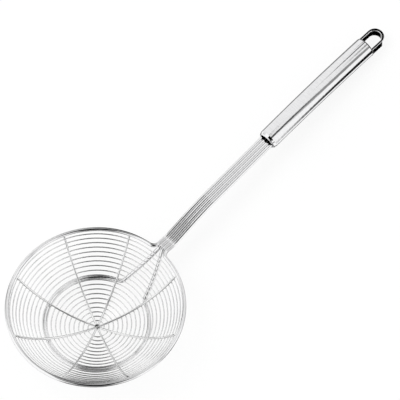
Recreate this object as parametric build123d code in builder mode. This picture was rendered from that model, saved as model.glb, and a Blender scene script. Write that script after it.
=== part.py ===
from build123d import *
import os
from math import acos, asin, atan2, cos, degrees, hypot, pi, radians, sin, sqrt, tan

os.makedirs("parts", exist_ok=True)

# A spider skimmer: a bowl of wound wire on eight ribs, a stem of four wires and a hollow handle.
# It is drawn with the rim flat in XY around the origin and the handle along +X, in millimetres.
# The last section lays the whole tool down as it rests on a table.

# Wires
frame_wire = 3.0
rib_wire = 1.6
mesh_wire = 0.9
weld_gap = 0.05

# Bowl
rim_outer_diameter = 137.0
rim_set_out = 0.41
bowl_depth = 35.3
through_wires = 4
support_share = 0.584
support_corner_length = 8.0
support_corner_angle = 28.0
support_bend_radius = 5.0
rim_bend_radius = 5.0

# Mesh
mesh_quarter_turns = 79
mesh_start_angle = -67.5
mesh_start_arc = 5.06
mesh_end_clearance = 0.3
mesh_sample_angle = 5.0

# Stem, seen from the side
stem_lead = 12.8
leg_lead = 1.8
leg_clearance = 1.7
leg_bend_radius = 4.0
leg_bow_share = 1.03
kink_radius = 12.0
rise_angle = 19.0
rise_length = 31.6
arch_radius = 143.0
stem_angle = 9.4
stem_length = 76.7

# Handle
handle_arch_radius = 1050.0
tube_length = 108.3
tube_front_diameter = 16.7
tube_middle_diameter = 17.2
tube_rear_diameter = 17.4
tube_wall = 0.9
tube_station_shares = (0.0, 0.25, 0.5, 0.75, 1.0)
collar_length = 2.5
collar_nose = 1.0
collar_slope = 20.0
collar_spigot = 6.0
collar_mouth_diameter = 13.0
bore_clearance = 0.15
grip_length = 22.0
wire_overrun = 2.0

# Hanging loop
loop_length = 19.3
loop_inset = 1.3
loop_arm = 1.9
loop_tip = 2.4
loop_height = 7.2
loop_round = 0.35
loop_base = 1.2
loop_base_round = 0.9
loop_spigot = 12.0

# Places that follow from the sizes above
rim_radius = (rim_outer_diameter - frame_wire) / 2
bowl_radius = (rim_radius**2 + bowl_depth**2 - rim_set_out**2) / (2 * (bowl_depth + rim_set_out))
bowl_centre = bowl_radius - bowl_depth
rib_radius = bowl_radius - (mesh_wire + rib_wire) / 2 - weld_gap
support_reach = bowl_radius + (mesh_wire + frame_wire) / 2 + weld_gap
support_radius = support_share * rim_outer_diameter / 2
support_level = bowl_centre - sqrt(support_reach**2 - support_radius**2)
leg_reach = bowl_radius + (mesh_wire + frame_wire) / 2 + leg_clearance
stem_pitch = frame_wire + weld_gap
rim_side = 1.5 * stem_pitch
leg_side = stem_pitch / 2


def around(radius, angle, level=0.0):
    """A point at a radius and angle around the bowl's axis."""
    return Vector(radius * cos(radians(angle)), radius * sin(radians(angle)), level)


def along(point, angle, length):
    """The side view's next corner (x, z), a length away at an angle above level."""
    return (point[0] + length * cos(radians(angle)), point[1] + length * sin(radians(angle)))


def beside(point, side):
    """A side view corner (x, z), moved out to its wire's own side."""
    return Vector(point[0], side, point[1])


def tangent_pair(start, start_way, end, end_way):
    """Two arcs, tangent to each other and to both ways, that join start to end."""
    across = end - start
    turn = 2 * (1 - start_way.dot(end_way))
    reach = across.dot(start_way + end_way)
    step = (sqrt(reach**2 + turn * across.dot(across)) - reach) / turn
    before = start + start_way * step
    after = end - end_way * step
    middle = (before + after) / 2
    TangentArc(start, middle, tangent=start_way)
    TangentArc(middle, end, tangent=after - before)


def start_plane(path):
    """The plane square to the start of a path."""
    return Plane(origin=path.line @ 0, z_dir=path.line % 0)


# Stem corners, seen from the side as (x, z)
kink = (rim_radius + stem_lead, 0.0)
arch = along(kink, rise_angle, rise_length)
mouth = along(arch, stem_angle, stem_length)
grip_start = collar_length + collar_spigot + weld_gap
wire_end = along(mouth, stem_angle, grip_start + grip_length + wire_overrun)

# Each rim tail leaves the hoop in an arc that also touches the tail's straight line.
bend_side = rim_side + rim_bend_radius
bend_reach = rim_radius + rim_bend_radius
bend_x = sqrt(bend_reach**2 - bend_side**2)
rim_start_angle = degrees(asin(bend_side / bend_reach))

# The rim hoop: one wire, from inside the handle, round the bowl and back into the handle
with BuildPart() as rim_hoop:
    with BuildLine() as rim_path:
        tail = [beside(wire_end, rim_side), beside(arch, rim_side), beside(kink, rim_side)]
        tail_start = Vector(bend_x, rim_side, 0)
        hoop_start = around(rim_radius, rim_start_angle)
        hoop_end = around(rim_radius, -rim_start_angle)
        FilletPolyline(*tail, tail_start, radius=[arch_radius, kink_radius])
        TangentArc(tail_start, hoop_start, tangent=(-1, 0, 0))
        ThreePointArc(hoop_start, Vector(-rim_radius, 0, 0), hoop_end)
        TangentArc(Vector(bend_x, -rim_side, 0), hoop_end, tangent=(-1, 0, 0))
        other_tail = [Vector(point.X, -point.Y, point.Z) for point in (tail_start, *reversed(tail))]
        FilletPolyline(*other_tail, radius=[kink_radius, arch_radius])
    with BuildSketch(start_plane(rim_path)):
        Circle(frame_wire / 2)
    sweep(path=rim_path.line)

# Each leg of the support hoop runs down outside the mesh, between two ribs.
leg_top = (bend_x - leg_lead, 0.0)
hoop_way = around(1, support_corner_angle + 90)
support_start = around(support_radius, support_corner_angle, support_level)
support_corner = support_start - hoop_way * support_corner_length
leg_straight = (beside(leg_top, leg_side) + support_corner) / 2
bowl_middle = Vector(0, 0, bowl_centre)
leg_way = leg_straight - bowl_middle
leg_middle = bowl_middle + leg_way.normalized() * max(leg_reach, leg_way.length + weld_gap)

# The support hoop: one wire, from inside the handle, round under the mesh and back
with BuildPart() as support_hoop:
    with BuildLine() as support_path:
        leg = [beside(point, leg_side) for point in (wire_end, arch, kink, leg_top)]
        leg = leg + [leg_middle, support_corner, support_start]
        leg_bow_radius = leg_bow_share * leg_reach
        leg_radii = [arch_radius, kink_radius, leg_bend_radius, leg_bow_radius, support_bend_radius]
        other_leg = [Vector(point.X, -point.Y, point.Z) for point in reversed(leg)]
        FilletPolyline(*leg, radius=leg_radii)
        ThreePointArc(support_start, Vector(-support_radius, 0, support_level), other_leg[0])
        FilletPolyline(*other_leg, radius=leg_radii[::-1])
    with BuildSketch(start_plane(support_path)):
        Circle(frame_wire / 2)
    sweep(path=support_path.line)

# The ribs: four wires from rim to rim inside the mesh, which end square against the rim.
# Where they cross, each is pressed to its own share of one wire's height, so all lie level.
rim_span = hypot(rim_radius, bowl_centre)
rib_outside = rib_radius + rib_wire / 2
rib_stop = sqrt((frame_wire / 2 + weld_gap) ** 2 - (rim_span - rib_outside) ** 2)
rib_end_angle = degrees(atan2(rim_radius, bowl_centre) - asin(rib_stop / rib_outside))
rib_step = 180 / through_wires
cross_length = rib_wire / tan(radians(rib_step / 2)) + 4 * weld_gap
cross_layer = rib_wire / through_wires
cross_floor = bowl_centre - rib_outside


def make_rib(index):
    """One through wire, with the layer that it keeps at the crossing."""
    azimuth = (index + 0.5) * rib_step
    outward = around(1, azimuth)
    with BuildPart() as rib:
        with BuildLine(Plane(origin=(0, 0, 0), x_dir=outward, z_dir=around(1, azimuth - 90))) as rib_path:
            CenterArc((0, bowl_centre), rib_radius, 270 - rib_end_angle, 2 * rib_end_angle)
        with BuildSketch(start_plane(rib_path)):
            Circle(rib_wire / 2)
        sweep(path=rib_path.line)
        layer_floor = cross_floor + index * cross_layer
        if index > 0:
            with BuildSketch(Plane(origin=(0, 0, layer_floor), x_dir=outward, z_dir=(0, 0, 1))):
                Rectangle(cross_length, 2 * rib_wire)
            extrude(amount=-rib_wire, mode=Mode.SUBTRACT)
        if index < through_wires - 1:
            layer_top = layer_floor + cross_layer - weld_gap
            with BuildSketch(Plane(origin=(0, 0, layer_top), x_dir=outward, z_dir=(0, 0, 1))):
                Rectangle(cross_length, 2 * rib_wire)
            extrude(amount=rib_wire, mode=Mode.SUBTRACT)
    return rib


# The mesh: one wire, wound from the middle out to the rim on the sphere outside the ribs
rim_angle = atan2(rim_radius, bowl_centre)
mesh_stop = (frame_wire + mesh_wire) / 2 + mesh_end_clearance
mesh_margin = acos((rim_span**2 + bowl_radius**2 - mesh_stop**2) / (2 * rim_span * bowl_radius))
mesh_turns = mesh_quarter_turns / 4
mesh_pitch = (bowl_radius * (rim_angle - mesh_margin) - mesh_start_arc) / mesh_turns


def mesh_point(turns):
    """A place on the mesh wire, a number of turns from its inner end, and the way it runs there."""
    angle = mesh_start_angle + 360 * turns
    slope = (mesh_start_arc + mesh_pitch * turns) / bowl_radius
    place = around(bowl_radius * sin(slope), angle, bowl_centre - bowl_radius * cos(slope))
    round_way = around(2 * pi * bowl_radius * sin(slope), angle + 90)
    out_way = around(mesh_pitch * cos(slope), angle, mesh_pitch * sin(slope))
    return place, (round_way + out_way).normalized()


with BuildPart() as mesh_spiral:
    with BuildLine() as mesh_path:
        for quarter in range(mesh_quarter_turns):
            tangent_pair(*mesh_point(quarter / 4), *mesh_point((quarter + 1) / 4))
    with BuildSketch(start_plane(mesh_path)):
        Circle(mesh_wire / 2)
    sweep(path=mesh_path.line)

# The least gap between one turn of the mesh and the next, on points all along it
sample_turns = mesh_sample_angle / 360
samples = range(int((mesh_turns - 1) / sample_turns))
turn_steps = [
    (mesh_point((index + 1 / sample_turns) * sample_turns)[0] - mesh_point(index * sample_turns)[0]).length
    for index in samples
]
print("least gap between mesh turns:", round(min(turn_steps) - mesh_wire, 2), "mm")


def handle_plane(distance):
    """The plane square to the handle's arched axis, a distance behind the mouth."""
    start = radians(stem_angle)
    slope = start - distance / handle_arch_radius
    x = mouth[0] + handle_arch_radius * (sin(start) - sin(slope))
    z = mouth[1] + handle_arch_radius * (cos(slope) - cos(start))
    return Plane(origin=(x, 0, z), x_dir=(0, 1, 0), z_dir=(cos(slope), 0, sin(slope)))


def tube_diameter(share):
    """The tube's outer diameter at a share of its length, swelling towards its middle."""
    front = tube_front_diameter * (1 - share) * (1 - 2 * share)
    middle = tube_middle_diameter * 4 * share * (1 - share)
    rear = tube_rear_diameter * share * (2 * share - 1)
    return front + middle + rear


mouth_plane = handle_plane(0)
front_plane = handle_plane(collar_length)
rear_plane = handle_plane(collar_length + tube_length)
front_bore = tube_front_diameter / 2 - tube_wall
rear_bore = tube_rear_diameter / 2 - tube_wall
wires_width = 3 * stem_pitch + frame_wire

# The handle tube: hollow, round, swollen in the middle and gently arched
with BuildPart() as handle_tube:
    for share in tube_station_shares:
        with BuildSketch(handle_plane(collar_length + share * tube_length)):
            Circle(tube_diameter(share) / 2)
    loft()
    for share in tube_station_shares:
        with BuildSketch(handle_plane(collar_length + share * tube_length)):
            Circle(tube_diameter(share) / 2 - tube_wall)
    loft(mode=Mode.SUBTRACT)

# The front collar: a polished ring with a rounded nose, a cone and a spigot in the tube
nose_side = tube_front_diameter / 2 - (collar_length - collar_nose) * tan(radians(collar_slope))
nose_centre = nose_side - collar_nose / cos(radians(collar_slope))
mouth_radius = collar_mouth_diameter / 2
spigot_radius = front_bore - bore_clearance
collar_plane = Plane(origin=front_plane.origin, x_dir=-front_plane.z_dir, z_dir=(0, 1, 0))

with BuildPart() as front_collar:
    with BuildSketch(collar_plane):
        with BuildLine():
            nose_corner = (
                collar_length - collar_nose * (1 - sin(radians(collar_slope))),
                nose_centre + collar_nose * cos(radians(collar_slope)),
            )
            shoulder = [(0, spigot_radius), (0, tube_front_diameter / 2), nose_corner]
            nose_way = (cos(radians(collar_slope)), -sin(radians(collar_slope)))
            Polyline((collar_length, mouth_radius), (-collar_spigot, mouth_radius), (-collar_spigot, spigot_radius))
            Polyline((-collar_spigot, spigot_radius), *shoulder)
            TangentArc(nose_corner, (collar_length, nose_centre), tangent=nose_way)
            Line((collar_length, nose_centre), (collar_length, mouth_radius))
        make_face()
    revolve(axis=Axis(front_plane.origin, front_plane.z_dir))

# The grip block: it fills the tube behind the collar and holds the four wires
with BuildPart() as grip_block:
    with BuildSketch(handle_plane(grip_start)):
        Circle(front_bore - bore_clearance)
    extrude(amount=grip_length)
    with BuildSketch(mouth_plane):
        SlotOverall(wires_width + 2 * weld_gap, frame_wire + 2 * weld_gap)
    extrude(amount=2 * (grip_start + grip_length), mode=Mode.SUBTRACT)

# The hanging loop: a bow of flat strap on a round end cap, whose spigot closes the tube
loop_width = tube_rear_diameter - 2 * loop_inset
loop_hole = loop_width - 2 * loop_arm
hole_end = loop_length - loop_tip
loop_plane = Plane(origin=rear_plane.origin, x_dir=rear_plane.z_dir, z_dir=rear_plane.y_dir)

with BuildPart() as end_cap:
    with BuildSketch(rear_plane):
        Circle(tube_rear_diameter / 2)
    extrude(amount=loop_base)
    rear_edge = end_cap.edges().filter_by(GeomType.CIRCLE).sort_by(Axis.X)[-1]
    fillet(rear_edge, loop_base_round)
    with BuildSketch(rear_plane):
        Circle(rear_bore - bore_clearance)
    extrude(amount=-loop_spigot)

with BuildPart() as hang_loop:
    with BuildSketch(loop_plane):
        Rectangle(loop_length - loop_width / 2, loop_width, align=(Align.MIN, Align.CENTER))
        with Locations((loop_length - loop_width / 2, 0)):
            Circle(loop_width / 2)
    extrude(amount=loop_height / 2, both=True)
    with BuildSketch(loop_plane):
        with Locations((loop_base, 0)):
            Rectangle(hole_end - loop_hole / 2 - loop_base, loop_hole, align=(Align.MIN, Align.CENTER))
        with Locations((hole_end - loop_hole / 2, 0)):
            Circle(loop_hole / 2)
    extrude(amount=loop_height, both=True, mode=Mode.SUBTRACT)
    flats = hang_loop.faces().sort_by(Axis(loop_plane.origin, loop_plane.z_dir))
    rims = flats[0].edges() + flats[-1].edges()
    fillet([rim for rim in rims if loop_plane.to_local_coords(rim.center()).X > loop_base / 2], loop_round)
    add(end_cap.part)

pieces = {
    "rim_hoop": rim_hoop,
    "support_hoop": support_hoop,
    "mesh_spiral": mesh_spiral,
    "handle_tube": handle_tube,
    "front_collar": front_collar,
    "grip_block": grip_block,
    "hang_loop": hang_loop,
}
for index in range(through_wires):
    pieces[f"rib_{index + 1}"] = make_rib(index)

# At rest the mesh and the end cap's round touch the table, so the rim leans to the handle.
heel_drop = tube_rear_diameter / 2 - loop_base_round
heel = loop_plane.from_local_coords((loop_base - loop_base_round, 0, -heel_drop))
heel_fall = bowl_centre - heel.Z
heel_away = hypot(heel.X, heel_fall)
mesh_reach = bowl_radius + mesh_wire / 2
lean = degrees(asin((mesh_reach - loop_base_round) / heel_away) - atan2(heel_fall, heel.X))
tilt = Rotation(0, lean, 0)
boxes = [(tilt * piece.part).bounding_box() for piece in pieces.values()]
table = min(box.min.Z for box in boxes)
back = min(box.min.X for box in boxes)
front = max(box.max.X for box in boxes)
at_rest = Pos(-(back + front) / 2, 0, -table) * tilt
print("lean at rest:", round(lean, 3), "degrees; bowl frame moved by", at_rest.position)

for name, piece in pieces.items():
    piece.part.label = name
    piece.part.move(at_rest)
    export_step(piece.part, f"parts/{name}.step")
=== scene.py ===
import math

import bpy
from mathutils import Matrix, Vector

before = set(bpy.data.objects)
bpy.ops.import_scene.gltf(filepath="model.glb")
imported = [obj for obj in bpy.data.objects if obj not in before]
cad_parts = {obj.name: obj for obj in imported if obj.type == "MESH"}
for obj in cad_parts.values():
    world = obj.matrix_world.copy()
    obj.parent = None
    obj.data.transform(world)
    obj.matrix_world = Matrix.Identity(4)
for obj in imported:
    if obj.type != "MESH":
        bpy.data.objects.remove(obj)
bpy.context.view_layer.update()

# The object as it lies on the table: the bowl's own frame, leaning towards the handle
LEAN = math.radians(12.201569834)
BOWL_PLACE = (-0.12437410, 0, 0.03676651)
LYING = Matrix.Translation(BOWL_PLACE) @ Matrix.Rotation(LEAN, 4, "Y")

# Camera, fitted to the photograph in the bowl's own frame: angles in radians, lengths in metres
CAMERA_AZIMUTH = 3.925866
CAMERA_ELEVATION = 1.034172
CAMERA_ROLL = -0.005395
CAMERA_SIDEWAYS = 0.0787178
CAMERA_UPWARDS = 0.0798611
CAMERA_DISTANCE = 2.0
FOCAL_PIXELS = 2651.35
PICTURE_PIXELS = 400
SENSOR_WIDTH = 36
CLIP_END = 20

# Studio
WHITE = (1, 1, 1, 1)
TENT_GLOW = 1.0
TENT_LIGHT = 0.8
DARK_BLUR = 2.5  # degrees on each side of a dark place's edge
FLOOR_SIZE = 8
FLOOR_MATTE = (0.82, 0.82, 0.82, 1)
FLOOR_SHADOW = (0.2, 0.2, 0.2, 1)
FLOOR_GLOW = 0.82
LAMP_PLACE = Vector((-0.5, 0.7, 1.6))
LAMP_SIZE = 1.2
LAMP_POWER = 6

# Metals and plastic, with the scale of their grain
STEEL = (0.94, 0.94, 0.945)
MESH_STEEL = (0.94, 0.94, 0.94)
BRUSHED_LIGHT = (0.95, 0.95, 0.955)
BRUSHED_SHADE = (0.85, 0.85, 0.86)
BLACK_PLASTIC = (0.05, 0.05, 0.05)
POLISHED = {"roughness": 0.03, "grain": 0.01, "bump": 0.02}
MOULDED = {"roughness": 0.5, "grain": 0.05, "bump": 0.1, "metallic": 0.0}
WIRE_GRAIN = 900
MESH_GRAIN = 1500
FITTING_GRAIN = 500
GRAIN_DETAIL = 4.0
BUMP_HEIGHT = 0.0001

# Brushing: fine rings around the handle's axis, which falls towards its rear end
HANDLE_FALL = math.radians(-5.9)
BRUSHED_ROUGHNESS = 0.09
BRUSHED_SPREAD = 0.4
BRUSHED_BUMP = 0.05
RING_STRETCH = (1.0, 0.12, 0.12)
RING_SCALE = 1500.0
RING_DETAIL = 2.0
RING_FROM, RING_TO = 0.3, 0.7

# The dark line of painted shade on the loop, standing in for the shadow in the gap between the
# tube's rear end and the end cap
LOOP_AXIS = Vector((0.988101, 0, -0.153807))
PAINTED_SHADE_WIDTH = 0.0009
PAINTED_SHADE_CORE_SHARE = 0.7
PAINTED_SHADE_DARK = (0.03, 0.03, 0.03, 1)


def place_camera():
    back = Vector((
        math.cos(CAMERA_ELEVATION) * math.cos(CAMERA_AZIMUTH),
        math.cos(CAMERA_ELEVATION) * math.sin(CAMERA_AZIMUTH),
        math.sin(CAMERA_ELEVATION),
    ))
    level = Vector((-math.sin(CAMERA_AZIMUTH), math.cos(CAMERA_AZIMUTH), 0))
    above = back.cross(level)
    right = math.cos(CAMERA_ROLL) * level + math.sin(CAMERA_ROLL) * above
    up = -math.sin(CAMERA_ROLL) * level + math.cos(CAMERA_ROLL) * above
    place = right * CAMERA_SIDEWAYS + up * CAMERA_UPWARDS + back * CAMERA_DISTANCE
    basis = Matrix((right, up, back)).transposed().to_4x4()
    data = bpy.data.cameras.new("camera")
    data.sensor_width = SENSOR_WIDTH
    data.lens = SENSOR_WIDTH * FOCAL_PIXELS / PICTURE_PIXELS
    data.clip_end = CLIP_END
    camera = bpy.data.objects.new("camera", data)
    bpy.context.collection.objects.link(camera)
    camera.matrix_world = LYING @ Matrix.Translation(place) @ basis
    bpy.context.scene.camera = camera


place_camera()


class Nodes:
    """A small helper that adds and links shader nodes."""

    def __init__(self, tree):
        self.tree = tree
        tree.nodes.clear()

    def add(self, kind, links=None, **values):
        node = self.tree.nodes.new(kind)
        for name, value in values.items():
            setattr(node, name, value)
        for name, source in (links or {}).items():
            socket = node.inputs[name]
            if isinstance(source, bpy.types.NodeSocket):
                self.tree.links.new(source, socket)
            else:
                socket.default_value = source
        return node

    def math(self, operation, first, second=None, third=None, clamp=False):
        node = self.add("ShaderNodeMath", operation=operation, use_clamp=clamp)
        for socket, source in zip(node.inputs, (first, second, third)):
            if isinstance(source, bpy.types.NodeSocket):
                self.tree.links.new(source, socket)
            elif source is not None:
                socket.default_value = source
        return node.outputs[0]

    def vector(self, operation, links, output="Vector"):
        return self.add("ShaderNodeVectorMath", links, operation=operation).outputs[output]


def new_material(name):
    material = bpy.data.materials.new(name)
    material.use_nodes = True
    return material, Nodes(material.node_tree)


def direction(azimuth, elevation):
    a, e = math.radians(azimuth), math.radians(elevation)
    return Vector((math.cos(e) * math.cos(a), math.cos(e) * math.sin(a), math.sin(e)))


# Each dark place: its two ends as (azimuth, elevation), its half width in degrees, its depth
DARK_PLACES = [
    ((297.6, 87.1), (285.1, 86.4), 14.9, 1.00),
    ((245.8, 74.0), (250.9, 58.5), 21.5, 1.00),
    ((218.6, 50.2), (234.8, 29.2), 9.4, 1.00),
    ((226.1, 21.8), (229.2, -10.3), 17.7, 0.68),
    ((235.1, 12.7), (260.8, -4.6), 4.6, 0.77),
    ((41.5, 34.9), (37.3, 8.9), 8.4, 0.95),
    ((33.3, 84.2), (33.4, 74.0), 3.6, 1.00),
    ((33.8, 54.0), (33.9, 46.3), 3.6, 1.00),
    ((297.1, -16.7), (313.1, -33.4), 11.8, 1.00),
    ((298.2, -27.9), (336.2, -42.3), 11.7, 1.00),
    ((357.9, -28.3), (7.1, -23.2), 8.0, 1.00),
    ((49.8, -19.7), (94.1, -50.3), 17.6, 0.75),
    ((101.2, -40.1), (105.8, -24.4), 10.5, 1.00),
    ((301.7, 59.9), (300.3, 54.3), 6.4, 0.93),
    ((305.3, 43.8), (302.6, 32.9), 6.5, 0.73),
    ((0.7, 43.7), (55.8, 17.8), 35.0, 0.10),
    ((100.9, 39.3), (92.3, 6.5), 6.9, 1.00),
    ((128.5, -51.0), (181.6, -42.9), 6.5, 1.00),
    ((216.1, -53.5), (209.5, -48.1), 24.1, 1.00),
    ((262.1, -56.2), (305.5, -64.5), 4.9, 1.00),
    ((205.4, 10.7), (198.3, -2.4), 11.3, 1.00),
    ((337.9, 3.8), (350.5, -7.7), 12.8, 0.54),
    ((23.6, 3.4), (37.1, -14.5), 12.7, 0.97),
    ((334.6, 54.3), (351.0, 56.8), 2.5, 0.77),
    ((287.8, -63.0), (151.0, -74.5), 3.3, 1.00),
    ((142.0, -73.0), (141.0, -54.7), 2.5, 0.07),
]


def light_studio():
    """A white tent with a few dark places, which only gloss and glass see."""
    world = bpy.data.worlds.new("studio")
    bpy.context.scene.world = world
    world.use_nodes = True
    n = Nodes(world.node_tree)
    way = n.add("ShaderNodeTexCoord").outputs["Generated"]

    def bar(start, end, width):
        """1 within the half width of the line between two directions, 0 beyond it."""
        inner, outer = max(width - DARK_BLUR, 0), width + DARK_BLUR
        start, end = direction(*start), direction(*end)
        along = end - start
        off = n.vector("SUBTRACT", {0: way, 1: start})
        share = n.vector("DOT_PRODUCT", {0: off, 1: along / along.length_squared}, "Value")
        share = n.math("MULTIPLY", share, 1.0, clamp=True)  # stays between the two ends
        near = n.vector("SCALE", {0: along, "Scale": share})
        ramp = n.add("ShaderNodeMapRange", {
            "Value": n.vector("DISTANCE", {0: off, 1: near}, "Value"),
            "From Min": 2 * math.sin(math.radians(outer / 2)),
            "From Max": 2 * math.sin(math.radians(inner / 2)),
        }, interpolation_type="SMOOTHSTEP")
        return ramp.outputs["Result"]

    level = None
    for start, end, width, depth in DARK_PLACES:
        kept = n.math("MULTIPLY_ADD", bar(start, end, width), -depth, 1.0)
        level = kept if level is None else n.math("MULTIPLY", level, kept)

    path = n.add("ShaderNodeLightPath").outputs
    shown = n.add("ShaderNodeBackground", {"Color": WHITE, "Strength": TENT_GLOW})
    glossy = n.add("ShaderNodeBackground", {"Color": WHITE, "Strength": level})
    lit = n.add("ShaderNodeBackground", {"Color": WHITE, "Strength": TENT_LIGHT})
    gloss_ray = n.math("MAXIMUM", path["Is Glossy Ray"], path["Is Transmission Ray"])
    lighting = n.add("ShaderNodeMixShader", {
        0: gloss_ray, 1: lit.outputs[0], 2: glossy.outputs[0]})
    tent = n.add("ShaderNodeMixShader", {
        0: path["Is Camera Ray"], 1: lighting.outputs[0], 2: shown.outputs[0]})
    n.add("ShaderNodeOutputWorld", {"Surface": tent.outputs[0]})


light_studio()


def add_floor():
    """A floor that the camera sees as white, with a faint shadow on it."""
    bpy.ops.mesh.primitive_plane_add(size=FLOOR_SIZE)
    floor = bpy.context.object
    floor.name = "floor"
    material, n = new_material("floor")
    path = n.add("ShaderNodeLightPath").outputs
    matte = n.add("ShaderNodeBsdfDiffuse", {"Color": FLOOR_MATTE})
    faint = n.add("ShaderNodeBsdfDiffuse", {"Color": FLOOR_SHADOW})
    glow = n.add("ShaderNodeEmission", {"Color": WHITE, "Strength": FLOOR_GLOW})
    shown = n.add("ShaderNodeAddShader", {0: faint.outputs[0], 1: glow.outputs[0]})
    mixed = n.add("ShaderNodeMixShader", {
        0: path["Is Camera Ray"], 1: matte.outputs[0], 2: shown.outputs[0]})
    n.add("ShaderNodeOutputMaterial", {"Surface": mixed.outputs[0]})
    floor.data.materials.append(material)
    floor.visible_glossy = False


add_floor()


def add_lamp():
    data = bpy.data.lights.new("soft_lamp", "AREA")
    data.shape = "DISK"
    data.size = LAMP_SIZE
    data.energy = LAMP_POWER
    lamp = bpy.data.objects.new("soft_lamp", data)
    bpy.context.collection.objects.link(lamp)
    lamp.location = LAMP_PLACE
    lamp.rotation_euler = (-LAMP_PLACE).to_track_quat("-Z", "Y").to_euler()
    lamp.visible_camera = False
    lamp.visible_glossy = False


add_lamp()


def grained(name, colour, scale, roughness, grain, bump, metallic=1.0, painted_shade_from=None):
    """A surface with a fine grain, and, when given where the tube ends, a dark line of painted
    shade just behind the tube's rear end.
    """
    material, n = new_material(name)
    where = n.add("ShaderNodeTexCoord").outputs["Object"]
    noise = n.add("ShaderNodeTexNoise", {
        "Vector": where, "Scale": scale, "Detail": GRAIN_DETAIL}).outputs["Fac"]
    rough = n.add("ShaderNodeMapRange", {
        "Value": noise, "To Min": roughness - grain, "To Max": roughness + grain})
    dents = n.add("ShaderNodeBump", {
        "Height": noise, "Strength": bump, "Distance": BUMP_HEIGHT})
    shader = n.add("ShaderNodeBsdfPrincipled", {
        "Base Color": (*colour, 1), "Metallic": metallic,
        "Roughness": rough.outputs["Result"], "Normal": dents.outputs["Normal"]})
    if painted_shade_from is not None:
        # Painted shade: the base colour turns dark in a thin band just behind the tube's rear
        # end, standing in for the shadow in the gap
        unshaded = n.add("ShaderNodeMapRange", {
            "Value": n.vector("DOT_PRODUCT", {0: where, 1: LOOP_AXIS}, "Value"),
            "From Min": painted_shade_from + PAINTED_SHADE_WIDTH * PAINTED_SHADE_CORE_SHARE, "From Max": painted_shade_from + PAINTED_SHADE_WIDTH})
        shade_mix = n.add("ShaderNodeMix", {
            0: unshaded.outputs["Result"], 6: PAINTED_SHADE_DARK, 7: (*colour, 1)}, data_type="RGBA")
        n.tree.links.new(shade_mix.outputs[2], shader.inputs["Base Color"])
    n.add("ShaderNodeOutputMaterial", {"Surface": shader.outputs[0]})
    return material


def brushed_tube():
    """Steel with fine rings around the handle's axis, left by the brushing."""
    material, n = new_material("brushed_tube")
    where = n.add("ShaderNodeTexCoord").outputs["Object"]
    rings = n.add("ShaderNodeMapping", {
        "Vector": where, "Rotation": (0, HANDLE_FALL, 0), "Scale": RING_STRETCH})
    noise = n.add("ShaderNodeTexNoise", {
        "Vector": rings.outputs["Vector"], "Scale": RING_SCALE,
        "Detail": RING_DETAIL}).outputs["Fac"]
    streak = n.add("ShaderNodeMapRange", {
        "Value": noise, "From Min": RING_FROM, "From Max": RING_TO})
    colour = n.add("ShaderNodeMix", {
        0: streak.outputs["Result"],
        6: (*BRUSHED_SHADE, 1), 7: (*BRUSHED_LIGHT, 1)}, data_type="RGBA")
    rough = n.add("ShaderNodeMapRange", {
        "Value": noise, "To Min": BRUSHED_ROUGHNESS * (1 + BRUSHED_SPREAD),
        "To Max": BRUSHED_ROUGHNESS * (1 - BRUSHED_SPREAD)})
    grooves = n.add("ShaderNodeBump", {
        "Height": noise, "Strength": BRUSHED_BUMP, "Distance": BUMP_HEIGHT})
    shader = n.add("ShaderNodeBsdfPrincipled", {
        "Base Color": colour.outputs[2], "Metallic": 1.0,
        "Roughness": rough.outputs["Result"], "Normal": grooves.outputs["Normal"]})
    n.add("ShaderNodeOutputMaterial", {"Surface": shader.outputs[0]})
    return material


def dress(node, material):
    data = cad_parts[node].data
    data.materials.clear()
    data.materials.append(material)


wire = grained("polished_wire", STEEL, WIRE_GRAIN, **POLISHED)
for node in ("rim_hoop", "support_hoop"):
    dress(node, wire)

thin_wire = grained("mesh_wire", MESH_STEEL, MESH_GRAIN, **POLISHED)
for node in ("rib_1", "rib_2", "rib_3", "rib_4", "mesh_spiral"):
    dress(node, thin_wire)

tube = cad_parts["handle_tube"].data
tube_end = max(LOOP_AXIS.dot(vertex.co) for vertex in tube.vertices)
dress("handle_tube", brushed_tube())
dress("front_collar", grained("polished_fittings", STEEL, FITTING_GRAIN, **POLISHED))
# The loop gets a line of painted shade just behind the tube's rear end
dress("hang_loop", grained("polished_loop", STEEL, FITTING_GRAIN, **POLISHED, painted_shade_from=tube_end))
dress("grip_block", grained("grip_plastic", BLACK_PLASTIC, FITTING_GRAIN, **MOULDED))

bpy.context.scene.view_settings.view_transform = "Standard"
